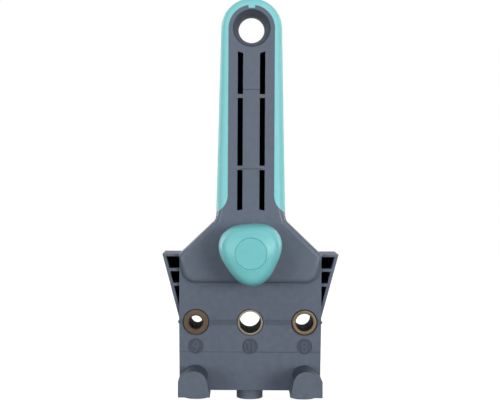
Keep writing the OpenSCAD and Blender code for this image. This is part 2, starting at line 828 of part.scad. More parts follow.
// Point of the knob's outline at an angle, for one ring of shares
function knob_point(ring, turn) =
    let (r = ring[1] * knob_radius + ring[2] * lobe_height * cos(lobes * (turn - knob_turn)))
    [r * cos(turn), r * sin(turn), ring[0] * knob_height];

// Lobed body of the knob, lofted from ring to ring
module knob_form() {
    n = knob_steps;
    rings = len(knob_shares);
    polyhedron(
        points = [for (ring = knob_shares, j = [0:n - 1]) knob_point(ring, j * 360 / n)],
        faces = concat(
            [[for (j = [0:n - 1]) j]],
            [for (i = [0:rings - 2], j = [0:n - 1])
                [i * n + j, (i + 1) * n + j, (i + 1) * n + (j + 1) % n]],
            [for (i = [0:rings - 2], j = [0:n - 1])
                [i * n + j, (i + 1) * n + (j + 1) % n, i * n + (j + 1) % n]],
            [[for (j = [n - 1:-1:0]) (rings - 1) * n + j]]
        )
    );
}

module knob() color(turquoise) difference() {
    translate([0, knob_back, knob_z]) rotate([90, 0, 0]) knob_form();
    rod(0, knob_z, shaft_front, knob_back + overrun, shaft_radius + press_gap);
    rod(0, knob_z, knob_front - overrun, shaft_front + overrun, screw_radius + screw_gap);
    rod(0, knob_z, knob_front - overrun, knob_screw_seat, screw_head_radius + free_gap);
    rod(0, knob_z, knob_front - overrun, knob_front + cap_thickness, cap_radius + seat_gap);
}

// Press-in cap, its front dished a little for the finger
function dish_depth(r) = sqrt(pow(cap_dish_share * cap_diameter, 2) - r * r)
    - sqrt(pow(cap_dish_share * cap_diameter, 2) - cap_radius * cap_radius);

module knob_cap() color(turquoise) translate([0, knob_front + cap_thickness, knob_z])
    rotate([90, 0, 0]) rotate_extrude() polygon(concat([[0, 0], [cap_radius, 0]],
        [for (i = [dish_steps:-1:1])
            [cap_radius * i / dish_steps, cap_thickness - dish_depth(cap_radius * i / dish_steps)]],
        [[0, cap_thickness - dish_depth(cap_radius / dish_steps)]]));

module knob_screw() color(steel) translate([0, knob_screw_seat, knob_z]) rotate([90, 0, 0])
    screw(knob_screw_reach, screw_radius, screw_head_radius, screw_head_height);

// Stepped shaft: knob end and journal, groove of the clip, seat of the pinion, tail
module drive_shaft() color(steel) difference() {
    clip_front = front_y + shaft_boss_height + bush_flange_height + seat_gap;
    union() {
        rod(0, knob_z, shaft_front, clip_front, shaft_radius);
        rod(0, knob_z, clip_front - overrun, clip_front + clip_thickness + overrun,
            shaft_radius - clip_groove);
        rod(0, knob_z, clip_front + clip_thickness, pinion_front, shaft_radius);
        rod(0, knob_z, pinion_front - overrun, pinion_rear, seat_radius);
        rod(0, knob_z, pinion_rear - overrun, handle_back - slide_gap, tail_radius);
    }
    rod(0, knob_z, shaft_front - overrun, knob_screw_seat + knob_screw_reach + free_gap,
        screw_radius + press_gap);
}

module shaft_clip() color(steel) difference() {
    clip_front = front_y + shaft_boss_height + bush_flange_height + seat_gap;
    rod(0, knob_z, clip_front + running_gap, clip_front + clip_thickness - running_gap, clip_radius);
    rod(0, knob_z, clip_front, clip_front + clip_thickness,
        shaft_radius - clip_groove + running_gap);
    box(-shaft_radius / 2, shaft_radius / 2, clip_front, clip_front + clip_thickness,
        knob_z - 2 * clip_radius, knob_z);
}

// Involute of the base circle, at an unrolled angle in degrees
function involute(turn) = base_radius
    * [cos(turn) + turn * PI / 180 * sin(turn), sin(turn) - turn * PI / 180 * cos(turn)];
function turned(point, angle) = [
    point[0] * cos(angle) - point[1] * sin(angle),
    point[0] * sin(angle) + point[1] * cos(angle)
];

// Tooth of the pinion: a short radial flank, the involute, the tip and back down again
flank_steps = 6;
tip_turn = sqrt(pow(tip_radius / base_radius, 2) - 1) * 180 / PI;
base_half_angle = 90 / pinion_teeth * (1 - backlash_share)
    + (tan(pressure_angle) - pressure_angle * PI / 180) * 180 / PI;
function flank() = concat([[root_radius, 0]],
    [for (i = [0:flank_steps]) involute(tip_turn * i / flank_steps)]);
function tooth(angle) = concat(
    [for (p = flank()) turned(p, angle - base_half_angle)],
    [for (i = [len(flank()) - 1:-1:0])
        turned([flank()[i][0], -flank()[i][1]], angle + base_half_angle)]
);

module pinion() color(bronze) difference() {
    translate([0, 0, knob_z]) slab(pinion_front, pinion_rear)
        polygon([for (i = [0:pinion_teeth - 1], p = tooth(i * 360 / pinion_teeth)) p]);
    rod(0, knob_z, pinion_front - overrun, pinion_rear + overrun, seat_radius + press_gap);
}

// Rack teeth that point to the axis, with a space between two teeth at the axis' height
module rack_teeth() for (i = [-rack_teeth_half:rack_teeth_half - 1]) {
    z = knob_z + (i + 1 / 2) * tooth_pitch;
    half = tooth_pitch / 4 * (1 - backlash_share);
    tip = half - (pitch_radius - rack_tip) * tan(pressure_angle);
    root = half + (rack_root - pitch_radius) * tan(pressure_angle);
    slab(rack_front, rack_rear) polygon([
        [rack_root + overrun, z - root], [rack_root, z - root], [rack_tip, z - tip],
        [rack_tip, z + tip], [rack_root, z + root], [rack_root + overrun, z + root]
    ]);
}

// Webs that pass through the rear plate's windows to the jaw, for an upper carriage
module carriage_webs() both_sides()
    box(web_inner, web_outer, carriage_back - overrun, jaw_front,
        opening + web_low, opening + web_high);

// Holes for the jaw's screws
module carriage_screw_holes() both_sides()
    rod(web_middle, opening + jaw_screw_rise, carriage_front - overrun, jaw_front + overrun,
        small_screw_radius + press_gap);

// Upper carriage: slide bar behind the racks, arm on the right with its teeth
module upper_rack() color(bronze) difference() {
    low = opening + carriage_drop;
    high = low + carriage_height;
    union() {
        box(rack_root, rack_back, rack_front, rack_rear, low, rack_top);
        rack_teeth();
        box(rack_root, rack_back, rack_rear - overrun, carriage_front + overrun, low, high);
        box(-carriage_half, carriage_half, carriage_front, carriage_back, low, high);
        carriage_webs();
    }
    carriage_screw_holes();
}

// Lower carriage: bar on the three guide pins, arm on the left with its teeth
module lower_rack() color(bronze) difference() {
    high = -opening - carriage_drop;
    low = high - carriage_height;
    union() {
        mirror([1, 0, 0]) {
            box(rack_root, rack_back, rack_front, rack_rear, low, rack_top);
            rack_teeth();
        }
        box(-pin_carriage_half, pin_carriage_half, pin_carriage_front, rack_rear, low, high);
        box(-carriage_half, carriage_half, rack_rear - overrun, carriage_back, low, high);
        mirror([0, 0, 1]) carriage_webs();
    }
    mirror([0, 0, 1]) carriage_screw_holes();
    for (x = [-pin_x, 0, pin_x]) translate([x, pin_y, low - overrun])
        cylinder(h = carriage_height + 2 * overrun, r = pin_radius + running_gap);
}

// Jaw above the board: a back plate on the carriage, a clamping plate and gussets
module jaw() difference() {
    low = opening + pad_thickness;
    union() {
        box(-jaw_width / 2, jaw_width / 2, jaw_front, jaw_front + jaw_wall, low, low + jaw_height);
        box(-jaw_width / 2, jaw_width / 2, jaw_front, jaw_back, low, low + jaw_wall);
        for (x = [web_middle - gusset_offset, web_middle + gusset_offset,
            (jaw_width - gusset_wall) / 2]) both_sides()
            translate([x - gusset_wall / 2, 0, 0]) rotate([90, 0, 90])
                linear_extrude(gusset_wall) polygon([
                    [jaw_front + jaw_wall - overrun, low + jaw_wall - overrun],
                    [jaw_back - gusset_toe, low + jaw_wall - overrun],
                    [jaw_back - gusset_toe, low + jaw_wall],
                    [jaw_front + jaw_wall, low + jaw_height],
                    [jaw_front + jaw_wall - overrun, low + jaw_height]
                ]);
    }
    both_sides() rod(web_middle, opening + jaw_screw_rise, jaw_front - overrun,
        jaw_front + jaw_wall + overrun, small_screw_radius + screw_gap);
}

module upper_jaw() color(darker) jaw();
module lower_jaw() color(darker) mirror([0, 0, 1]) jaw();

// Rubber pad on the jaw, with grooves across the board's face
module jaw_pad() difference() {
    low_y = jaw_front + pad_inset;
    pitch = (jaw_reach - 2 * pad_inset) / (pad_grooves + 1);
    box(-jaw_width / 2 + pad_inset, jaw_width / 2 - pad_inset, low_y, jaw_back - pad_inset,
        opening, opening + pad_thickness);
    for (i = [1:pad_grooves])
        box(-jaw_width, jaw_width, low_y + i * pitch - pad_groove_width / 2,
            low_y + i * pitch + pad_groove_width / 2, opening - overrun,
            opening + pad_thickness * pad_groove_share);
}

module upper_jaw_pad() color(rubber) jaw_pad();
module lower_jaw_pad() color(rubber) mirror([0, 0, 1]) jaw_pad();

module jaw_screws() both_sides() back_screw(web_middle, jaw_front + jaw_wall,
    opening + jaw_screw_rise, jaw_wall + jaw_front - carriage_back + carriage_depth / 2,
    small_screw_radius, small_head_radius, small_head_height);

module upper_jaw_screws() color(steel) jaw_screws();
module lower_jaw_screws() color(steel) mirror([0, 0, 1]) jaw_screws();

handle_frame();
handle_grip();
guide_body();
rear_plate();
rear_plate_screws();
head_screws();
bushing_6();
bushing_8();
bushing_10();
gear_cover();
gear_cover_screws();
shaft_bush();
friction_washer();
guide_pin_left();
guide_pin_middle();
guide_pin_right();
knob();
knob_cap();
knob_screw();
drive_shaft();
pinion();
shaft_clip();
upper_rack();
upper_jaw();
upper_jaw_pad();
upper_jaw_screws();
lower_rack();
lower_jaw();
lower_jaw_pad();
lower_jaw_screws();
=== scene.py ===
# %% [markdown]
# # A self-centring dowelling jig, dressed for a studio photograph
# The measured solids of the jig are loaded first. Everything that is made here stands in the same
# place and in metres, so nothing has to be fitted: a box on a node tells where a piece belongs.

import json
import math

import bpy
from mathutils import Euler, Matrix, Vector

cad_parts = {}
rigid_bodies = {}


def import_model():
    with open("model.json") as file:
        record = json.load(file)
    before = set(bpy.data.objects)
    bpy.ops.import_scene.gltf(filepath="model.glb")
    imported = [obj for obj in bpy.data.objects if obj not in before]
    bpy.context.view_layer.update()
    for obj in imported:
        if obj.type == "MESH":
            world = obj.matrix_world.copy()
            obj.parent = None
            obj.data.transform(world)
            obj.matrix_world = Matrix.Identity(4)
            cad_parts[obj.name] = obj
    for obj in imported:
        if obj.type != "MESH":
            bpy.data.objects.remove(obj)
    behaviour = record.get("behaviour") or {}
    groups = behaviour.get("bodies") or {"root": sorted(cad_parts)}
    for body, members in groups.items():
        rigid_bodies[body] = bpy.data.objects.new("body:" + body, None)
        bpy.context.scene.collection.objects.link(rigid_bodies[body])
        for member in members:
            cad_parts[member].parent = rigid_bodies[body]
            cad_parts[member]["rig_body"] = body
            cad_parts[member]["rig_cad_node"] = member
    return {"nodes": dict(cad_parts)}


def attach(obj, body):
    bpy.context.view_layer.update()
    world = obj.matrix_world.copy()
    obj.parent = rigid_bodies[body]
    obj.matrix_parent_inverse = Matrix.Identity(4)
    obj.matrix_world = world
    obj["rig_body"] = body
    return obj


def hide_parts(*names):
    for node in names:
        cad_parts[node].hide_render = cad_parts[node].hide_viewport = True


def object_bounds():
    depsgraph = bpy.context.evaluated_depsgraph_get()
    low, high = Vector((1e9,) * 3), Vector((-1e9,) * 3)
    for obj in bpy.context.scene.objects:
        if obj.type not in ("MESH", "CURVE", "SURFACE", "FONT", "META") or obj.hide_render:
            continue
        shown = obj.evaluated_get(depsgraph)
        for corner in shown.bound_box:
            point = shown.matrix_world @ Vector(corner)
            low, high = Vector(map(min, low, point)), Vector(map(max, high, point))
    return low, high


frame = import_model()
cad_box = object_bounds()
nodes = frame["nodes"]
MM = 0.001
QUARTER_TURN = math.radians(90)
print("nodes", len(nodes), "box", [[round(v / MM, 1) for v in corner] for corner in cad_box])

# %% [markdown]
# ## Camera
# The photograph was taken from straight ahead, a few millimetres left of the middle and level with
# the lower part of the handle. The long lens stands 0.62 m away. A camera could be tilted down to the
# jig, but then the handle's sides would no longer run as they do in the picture, so the frame is
# shifted instead. The picture is 500 by 400 pixels, and its small roll is kept.

# %% Camera
PICTURE_WIDTH = 500
LENS, SENSOR = 91.0, 36.0
CAMERA_PLACE = Vector((-0.006, -0.624, 0.069))
PICTURE_ROLL = math.radians(-0.30)
SHIFT_RIGHT, SHIFT_UP = 11.8, -24.0

camera_data = bpy.data.cameras.new("camera")
camera_data.lens = LENS
camera_data.sensor_width = SENSOR
camera_data.shift_x = SHIFT_RIGHT / PICTURE_WIDTH
camera_data.shift_y = SHIFT_UP / PICTURE_WIDTH
camera_data.dof.use_dof = False
bpy.context.scene.view_settings.view_transform = "Standard"
camera = bpy.data.objects.new("camera", camera_data)
camera.location = CAMERA_PLACE
camera.rotation_euler = Euler((QUARTER_TURN, PICTURE_ROLL, 0))
bpy.context.scene.collection.objects.link(camera)
bpy.context.scene.camera = camera
print("camera", tuple(CAMERA_PLACE), "lens", LENS)

# %% [markdown]
# ## Floor, backdrop and light
# The jig stands on the round heads of its guide pins, on a white ground. White could come from more
# light, but that would bleach the jig. So the floor glows for the camera alone, and its own colour
# is a grey that still shows the jig's shadow. Gloss sees the white only behind the jig, as in a
# studio where the room in front is dark: that keeps the tops of the feet and the inner walls dark,
# and a painted shade on them darkens them further.

# %% Floor
floor_z = cad_box[0][2]
FLOOR_SIZE = 1.8
FLOOR_GREY = 0.3
FLOOR_GLOW = 0.97

bpy.ops.object.select_all(action="DESELECT")
bpy.ops.mesh.primitive_plane_add(size=FLOOR_SIZE, location=(0, 0, floor_z))
floor = bpy.context.active_object
floor.name = "floor"
bpy.ops.object.transform_apply(location=True, rotation=True, scale=True)


def new_material(name):
    """An empty node material with its output, ready for the shaders of one finish."""
    material = bpy.data.materials.new(name)
    material.use_nodes = True
    tree = material.node_tree
    tree.nodes.clear()
    return material, tree, tree.nodes.new("ShaderNodeOutputMaterial")


def math_node(tree, operation):
    """One Math node that does one operation."""
    node = tree.nodes.new("ShaderNodeMath")
    node.operation = operation
    return node


DIM_FRONT = 0.08
FLOOR_FADE = (-0.05, 0.12)
SKY_FADE = (0.0, 0.5)


def rays_that_see_white(tree, coordinates, fade):
    """1 for camera and transmission rays. Gloss sees the white fade in along Y, behind the jig."""
    path = tree.nodes.new("ShaderNodeLightPath")
    axes = tree.nodes.new("ShaderNodeSeparateXYZ")
    behind = tree.nodes.new("ShaderNodeMapRange")
    behind.inputs["From Min"].default_value = fade[0]
    behind.inputs["From Max"].default_value = fade[1]
    behind.inputs["To Min"].default_value = DIM_FRONT
    gloss = math_node(tree, "MULTIPLY")
    glass = math_node(tree, "MAXIMUM")
    seen = math_node(tree, "MAXIMUM")
    tree.links.new(coordinates, axes.inputs[0])
    tree.links.new(axes.outputs["Y"], behind.inputs["Value"])
    tree.links.new(path.outputs["Is Glossy Ray"], gloss.inputs[0])
    tree.links.new(behind.outputs[0], gloss.inputs[1])
    tree.links.new(gloss.outputs[0], glass.inputs[0])
    tree.links.new(path.outputs["Is Transmission Ray"], glass.inputs[1])
    tree.links.new(glass.outputs[0], seen.inputs[0])
    tree.links.new(path.outputs["Is Camera Ray"], seen.inputs[1])
    return seen.outputs[0]


def white_to_camera(tree, normal_shader, glow_strength):
    """Adds a white glow that only the camera, gloss and glass see, to what the floor shows anyway."""
    place = tree.nodes.new("ShaderNodeTexCoord")
    seen = rays_that_see_white(tree, place.outputs["Object"], FLOOR_FADE)
    glow = tree.nodes.new("ShaderNodeEmission")
    strength = math_node(tree, "MULTIPLY")
    strength.inputs[1].default_value = glow_strength
    tree.links.new(seen, strength.inputs[0])
    tree.links.new(strength.outputs[0], glow.inputs["Strength"])
    both = tree.nodes.new("ShaderNodeAddShader")
    tree.links.new(normal_shader.outputs[0], both.inputs[0])
    tree.links.new(glow.outputs[0], both.inputs[1])
    return both


floor_material, tree, out = new_material("pale_floor")
matt = tree.nodes.new("ShaderNodeBsdfDiffuse")
matt.inputs["Color"].default_value = (FLOOR_GREY, FLOOR_GREY, FLOOR_GREY, 1)
tree.links.new(white_to_camera(tree, matt, FLOOR_GLOW).outputs[0], out.inputs["Surface"])
floor.data.materials.append(floor_material)
print("floor at", round(floor_z / MM, 2), "mm")

# %% World: white behind, a faint grey fill for the light on the jig
FILL, WHITE = 0.04, 1.0
world = bpy.data.worlds.new("studio")
bpy.context.scene.world = world
world.use_nodes = True
tree = world.node_tree
tree.nodes.clear()
mix = tree.nodes.new("ShaderNodeMixShader")
for socket, strength in ((1, FILL), (2, WHITE)):
    shade = tree.nodes.new("ShaderNodeBackground")
    shade.inputs["Color"].default_value = (1, 1, 1, 1)
    shade.inputs["Strength"].default_value = strength
    tree.links.new(shade.outputs[0], mix.inputs[socket])
direction = tree.nodes.new("ShaderNodeTexCoord").outputs["Generated"]
tree.links.new(rays_that_see_white(tree, direction, SKY_FADE), mix.inputs["Fac"])
tree.links.new(mix.outputs[0], tree.nodes.new("ShaderNodeOutputWorld").inputs["Surface"])
print("world: fill", FILL, "and white", WHITE)

# %% [markdown]
# ## Lamps
# The photograph has soft light from both sides and only a little from above: the fronts are even,
# and the tops of the feet stay dark, helped by a painted shade on their hoods. One bright panel in
# front would do for the fronts, but then the knob would cast no soft shadow to its sides. So two
# large boxes stand left and right in front at the height of the block, the right one brighter, as in
# the picture. Two weaker ones high above them light the upper side of the knob. Two tall ones behind
# draw the edges of the grip, and one above the back lights the tops.

# %% Soft boxes


def soft_box(name, place, width, height, power):
    """One rectangular lamp that points at the middle of the jig."""
    data = bpy.data.lights.new(name, "AREA")
    data.shape = "RECTANGLE"
    data.size, data.size_y, data.energy = width, height, power
    lamp = bpy.data.objects.new(name, data)
    lamp.location = place
    lamp.rotation_euler = (MIDDLE - Vector(place)).to_track_quat("-Z", "Y").to_euler()
    bpy.context.scene.collection.objects.link(lamp)


MIDDLE = Vector((0, 0, 0.05))
for row in (
    ("box_left", (-0.62, -0.95, 0.04), 0.5, 0.5, 5.3),
    ("box_right", (0.62, -0.95, 0.04), 0.5, 0.5, 8.7),
    ("high_left", (-0.5, -0.7, 0.8), 0.5, 0.5, 2.3),
    ("high_right", (0.5, -0.7, 0.8), 0.5, 0.5, 2.1),
    ("back_left", (-0.9, 0.45, 0.3), 0.4, 0.8, 4.8),
    ("back_right", (0.9, 0.45, 0.3), 0.4, 0.8, 3.4),
    ("box_above", (0.1, 0.35, 0.95), 0.8, 0.6, 1.2),
):
    soft_box(*row)

# %% [markdown]
# ## Finishes
# The jig is moulded in two kinds of plastic. The body is glass-filled nylon in blue-grey, with the
# fine sparked texture of its mould, and the grip and knob are a turquoise soft plastic. The drill
# guides are browned steel. An image could give the grain, but it would stretch on curved faces. So
# each finish is made of nodes that read Object coordinates in metres, where a grain of 0.2 mm is a
# noise scale of 5000. The shades are painted shade: the same plastics, made darker in places where
# shadow falls.

# %% Helpers for the finishes


def srgb(red, green, blue):
    """A colour as it is read off a picture, 0 to 255, turned into the linear values of a shader."""
    def linear(value):
        share = value / 255
        return share / 12.92 if share <= 0.04045 else ((share + 0.055) / 1.055) ** 2.4
    return (linear(red), linear(green), linear(blue), 1.0)


def grain_of(tree, coordinates, scale, detail=3.0, stretch=None):
    """A noise texture on Object coordinates, stretched along an axis where the tool marks run."""
    noise = tree.nodes.new("ShaderNodeTexNoise")
    noise.inputs["Scale"].default_value = scale
    noise.inputs["Detail"].default_value = detail
    if stretch:
        mapping = tree.nodes.new("ShaderNodeMapping")
        mapping.inputs["Scale"].default_value = stretch
        tree.links.new(coordinates, mapping.inputs["Vector"])
        coordinates = mapping.outputs["Vector"]
    tree.links.new(coordinates, noise.inputs["Vector"])
    return noise.outputs["Fac"]


def between(tree, factor, low, high, start=0.3, end=0.7):
    """Maps a noise to a range, for roughness."""
    ramp = tree.nodes.new("ShaderNodeMapRange")
    ramp.inputs["From Min"].default_value = start
    ramp.inputs["From Max"].default_value = end
    ramp.inputs["To Min"].default_value = low
    ramp.inputs["To Max"].default_value = high
    tree.links.new(factor, ramp.inputs["Value"])
    return ramp.outputs["Result"]


def two_tones(tree, factor, dark, light, start=0.3, end=0.7):
    """Mixes two tones of one colour by a noise."""
    ramp = tree.nodes.new("ShaderNodeValToRGB")
    ramp.color_ramp.elements[0].position, ramp.color_ramp.elements[0].color = start, dark
    ramp.color_ramp.elements[1].position, ramp.color_ramp.elements[1].color = end, light
    tree.links.new(factor, ramp.inputs["Fac"])
    return ramp.outputs["Color"]


def bumped(tree, shader, heights):
    """Chains bumps of (height, distance in mm, strength) into the shader's normal."""
    normal = None
    for height, distance, strength in heights:
        bump = tree.nodes.new("ShaderNodeBump")
        bump.inputs["Distance"].default_value = distance * MM
        bump.inputs["Strength"].default_value = strength
        tree.links.new(height, bump.inputs["Height"])
        if normal is not None:
            tree.links.new(normal, bump.inputs["Normal"])
        normal = bump.outputs["Normal"]
    tree.links.new(normal, shader.inputs["Normal"])


def finish_start(name):
    """A Principled shader joined to the output, and the Object coordinates that its textures read."""
    material, tree, out = new_material(name)
    shader = tree.nodes.new("ShaderNodeBsdfPrincipled")
    tree.links.new(shader.outputs[0], out.inputs["Surface"])
    coordinates = tree.nodes.new("ShaderNodeTexCoord").outputs["Object"]
    return material, tree, shader, coordinates


# %% Moulded plastics
CLOUD_SCALE, CLOUD_DETAIL = 320, 6
RUBBED_SCALE, RUBBED_DETAIL, RUBBED_STRETCH = 420, 5, (1, 1, 0.35)
GRAIN_DETAIL, GRAIN_DEPTH = 2, 0.05
CLOUD_DEPTH, CLOUD_STRENGTH = 0.3, 0.08


def moulded_plastic(name, dark, light, rough=(0.3, 0.38), grain=4200, grain_strength=0.22, ior=1.5):
    """Blue-grey or turquoise plastic: faint flow clouds, a sparked grain and a few rubbed places."""
    material, tree, shader, coordinates = finish_start(name)
    clouds = grain_of(tree, coordinates, CLOUD_SCALE, CLOUD_DETAIL)
    fine = grain_of(tree, coordinates, grain, GRAIN_DETAIL)
    rubbed = grain_of(tree, coordinates, RUBBED_SCALE, RUBBED_DETAIL, RUBBED_STRETCH)
    tree.links.new(two_tones(tree, clouds, dark, light), shader.inputs["Base Color"])
    tree.links.new(between(tree, rubbed, *rough), shader.inputs["Roughness"])
    shader.inputs["IOR"].default_value = ior
    bumped(tree, shader, [(fine, GRAIN_DEPTH, grain_strength), (clouds, CLOUD_DEPTH, CLOUD_STRENGTH)])
    return material


body_plastic = moulded_plastic(
    "body_plastic", srgb(95, 104, 119), srgb(102, 111, 126), (0.5, 0.6), ior=1.35)
core_plastic = moulded_plastic(
    "core_plastic", srgb(99, 108, 123), srgb(105, 114, 129), (0.32, 0.42), ior=1.42)
inner_plastic = moulded_plastic("inner_plastic", srgb(46, 51, 59), srgb(52, 58, 66))
grip_plastic = moulded_plastic(
    "grip_plastic", srgb(134, 214, 217), srgb(139, 217, 220), (0.42, 0.52))
# Painted shade: darker copies of the plastic for the hoods, the band and lines, the mark floors, the slots
# and the hang hole.
hood_shade = moulded_plastic(
    "hood_shade", srgb(70, 78, 91), srgb(76, 84, 97), (0.6, 0.7), ior=1.3)
faint_shade = moulded_plastic(
    "faint_shade", srgb(83, 92, 106), srgb(89, 98, 112), (0.55, 0.65), ior=1.4)
mark_shade = moulded_plastic("mark_shade", srgb(69, 78, 92), srgb(75, 84, 98), (0.6, 0.7))
slot_shade = moulded_plastic("slot_shade", srgb(26, 29, 46), srgb(32, 35, 52), (0.6, 0.7), ior=1.2)
ring_shade = moulded_plastic("ring_shade", srgb(72, 81, 97), srgb(77, 86, 102), (0.5, 0.6), ior=1.3)
acetal = moulded_plastic(
    "acetal", srgb(196, 197, 192), srgb(206, 206, 200), (0.3, 0.4), grain=2600, grain_strength=0.05)
knob_plastic = moulded_plastic(
    "knob_plastic", srgb(118, 203, 206), srgb(123, 206, 209), (0.34, 0.42), grain=5200, grain_strength=0.12)
rubber_pad = moulded_plastic(
    "rubber_pad", srgb(34, 35, 37), srgb(42, 43, 45), (0.65, 0.8), grain=2600, grain_strength=0.35)
print("plastics", len(bpy.data.materials) - 1)

# %% Metals
MARKS_SCALE, MARKS_DETAIL = 900, 4
MARKS_DEPTH, MARKS_STRENGTH = 0.04, 0.3
STAINS_SCALE, STAINS_DETAIL = 160, 3
ALONG_Y = (1, 0.06, 1)
ALONG_Z = (1, 1, 0.05)


def worked_metal(name, dark, light, rough=(0.28, 0.42), along=ALONG_Y, metallic=1.0, ior=1.5):
    """Steel or brass with fine marks that run along one axis, and a slightly uneven sheen."""
    material, tree, shader, coordinates = finish_start(name)
    marks = grain_of(tree, coordinates, MARKS_SCALE, MARKS_DETAIL, along)
    stains = grain_of(tree, coordinates, STAINS_SCALE, STAINS_DETAIL)
    tree.links.new(two_tones(tree, stains, dark, light), shader.inputs["Base Color"])
    tree.links.new(between(tree, marks, *rough), shader.inputs["Roughness"])
    shader.inputs["Metallic"].default_value = metallic
    shader.inputs["IOR"].default_value = ior
    bumped(tree, shader, [(marks, MARKS_DEPTH, MARKS_STRENGTH)])
    return material


guide_steel = worked_metal("guide_steel", srgb(128, 108, 82), srgb(158, 138, 108))
plated_steel = worked_metal("plated_steel", srgb(168, 170, 172), srgb(190, 191, 192))
ground_steel = worked_metal("ground_steel", srgb(150, 152, 156), srgb(178, 180, 184), along=ALONG_Z)
gear_brass = worked_metal("gear_brass", srgb(158, 132, 84), srgb(178, 152, 102))
guide_brown = worked_metal(
    "guide_brown", srgb(96, 79, 62), srgb(114, 96, 78), (0.42, 0.55), metallic=0.35)
guide_gold = worked_metal(
    "guide_gold", srgb(124, 105, 78), srgb(144, 126, 100), (0.42, 0.55), metallic=0.35)
guide_pale = worked_metal(
    "guide_pale", srgb(150, 138, 118), srgb(168, 156, 135), (0.42, 0.55), metallic=0.35)
# Painted shade: brown in the gap round each guide and in the 6 mm guide's mouth, near black in the bores.
brown_painted_shade = worked_metal(
    "brown_painted_shade", srgb(52, 43, 36), srgb(66, 55, 45), (0.5, 0.65), metallic=0.2)
bore_shade = worked_metal(
    "bore_shade", srgb(14, 12, 10), srgb(28, 24, 20), (0.6, 0.75), metallic=0.0, ior=1.08)
pin_coating = worked_metal(
    "pin_coating", srgb(109, 118, 134), srgb(115, 124, 140), (0.55, 0.65), ALONG_Z, metallic=0.05)
print("finishes", len(bpy.data.materials))

# %% [markdown]
# ## The measured nodes and their finishes
# A node whose shape is right stays as it is and only gets its finish. The small parts inside the
# gear train are of this kind.

# %% Dress the nodes
FINISH_OF = {
    "handle_frame": core_plastic, "handle_grip": grip_plastic, "guide_body": body_plastic,
    "rear_plate": inner_plastic, "gear_cover": inner_plastic, "knob": knob_plastic,
    "knob_cap": knob_plastic, "bushing_6": guide_steel, "bushing_8": guide_steel,
    "bushing_10": guide_steel, "shaft_bush": gear_brass, "pinion": gear_brass,
    "friction_washer": ground_steel, "drive_shaft": ground_steel, "shaft_clip": ground_steel,
    "guide_pin_left": pin_coating, "guide_pin_middle": pin_coating, "guide_pin_right": pin_coating,
    "upper_rack": acetal, "lower_rack": acetal, "upper_jaw": inner_plastic,
    "lower_jaw": inner_plastic, "upper_jaw_pad": rubber_pad, "lower_jaw_pad": rubber_pad,
}
for name, node in nodes.items():
    node.data.materials.clear()
    node.data.materials.append(FINISH_OF.get(name, plated_steel))
print("dressed", len(nodes), "nodes,", len(nodes) - len(FINISH_OF), "of them in plated steel")

# %% [markdown]
# ## Rounded mould edges
# No moulded or machined edge is perfectly sharp. A knife edge catches no light, and a radius of a
# quarter of a millimetre draws the fine bright lines that the photograph shows. The solids could
# carry these radii, but the drawing stays lighter without them. So a copy of the node is merged,
# its flat faces are joined again, and the Bevel modifier rounds every edge sharper than an angle.

# %% A helper that rounds the edges of a node's copy
MERGE_DISTANCE = 0.002
FLAT_WITHIN = math.radians(0.5)


def node_box(name):
    """The two far corners of a node, in metres."""
    corners = [nodes[name].matrix_world @ Vector(c) for c in nodes[name].bound_box]
    return [[pick(c[i] for c in corners) for i in range(3)] for pick in (min, max)]


def only(piece):
    """Selects one object alone and makes it the active one."""
    bpy.ops.object.select_all(action="DESELECT")
    piece.select_set(True)
    bpy.context.view_layer.objects.active = piece
    return piece


def apply_all(piece):
    """Applies every modifier of a piece in its order."""
    only(piece)
    for modifier in list(piece.modifiers):
        bpy.ops.object.modifier_apply(modifier=modifier.name)


def smooth(piece, angle=32):
    """Smooth faces up to an angle, with the large faces ruling the normals."""
    only(piece)
    bpy.ops.object.shade_smooth_by_angle(angle=math.radians(angle))
    weighted = piece.modifiers.new("weighted", "WEIGHTED_NORMAL")
    weighted.keep_sharp = True
    bpy.ops.object.modifier_apply(modifier="weighted")


def rounded_copy(node_name, piece_name, radius, body, slot, segments=2, sharper_than=30):
    """A copy of a node with its sharp edges rounded to a radius in mm, standing for the node."""
    node = nodes[node_name]
    piece = node.copy()
    piece.data = node.data.copy()
    piece.name = piece.data.name = piece_name
    piece.parent = None
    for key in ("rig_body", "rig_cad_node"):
        if key in piece:
            del piece[key]
    bpy.context.scene.collection.objects.link(piece)
    only(piece)
    if piece.data.has_custom_normals:
        bpy.ops.mesh.customdata_custom_splitnormals_clear()
    bpy.ops.object.mode_set(mode="EDIT")
    bpy.ops.mesh.select_all(action="SELECT")
    bpy.ops.mesh.remove_doubles(threshold=MERGE_DISTANCE * MM)
    bpy.ops.mesh.dissolve_limited(angle_limit=FLAT_WITHIN)
    bpy.ops.object.mode_set(mode="OBJECT")
    bevel = piece.modifiers.new("edge", "BEVEL")
    bevel.width, bevel.segments = radius * MM, segments
    bevel.limit_method, bevel.angle_limit = "ANGLE", math.radians(sharper_than)
    bpy.ops.object.modifier_apply(modifier="edge")
    smooth(piece)
    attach(piece, body)
    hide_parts(node_name)
    print(piece_name, "for", node_name, len(piece.data.polygons), "faces")
    return piece


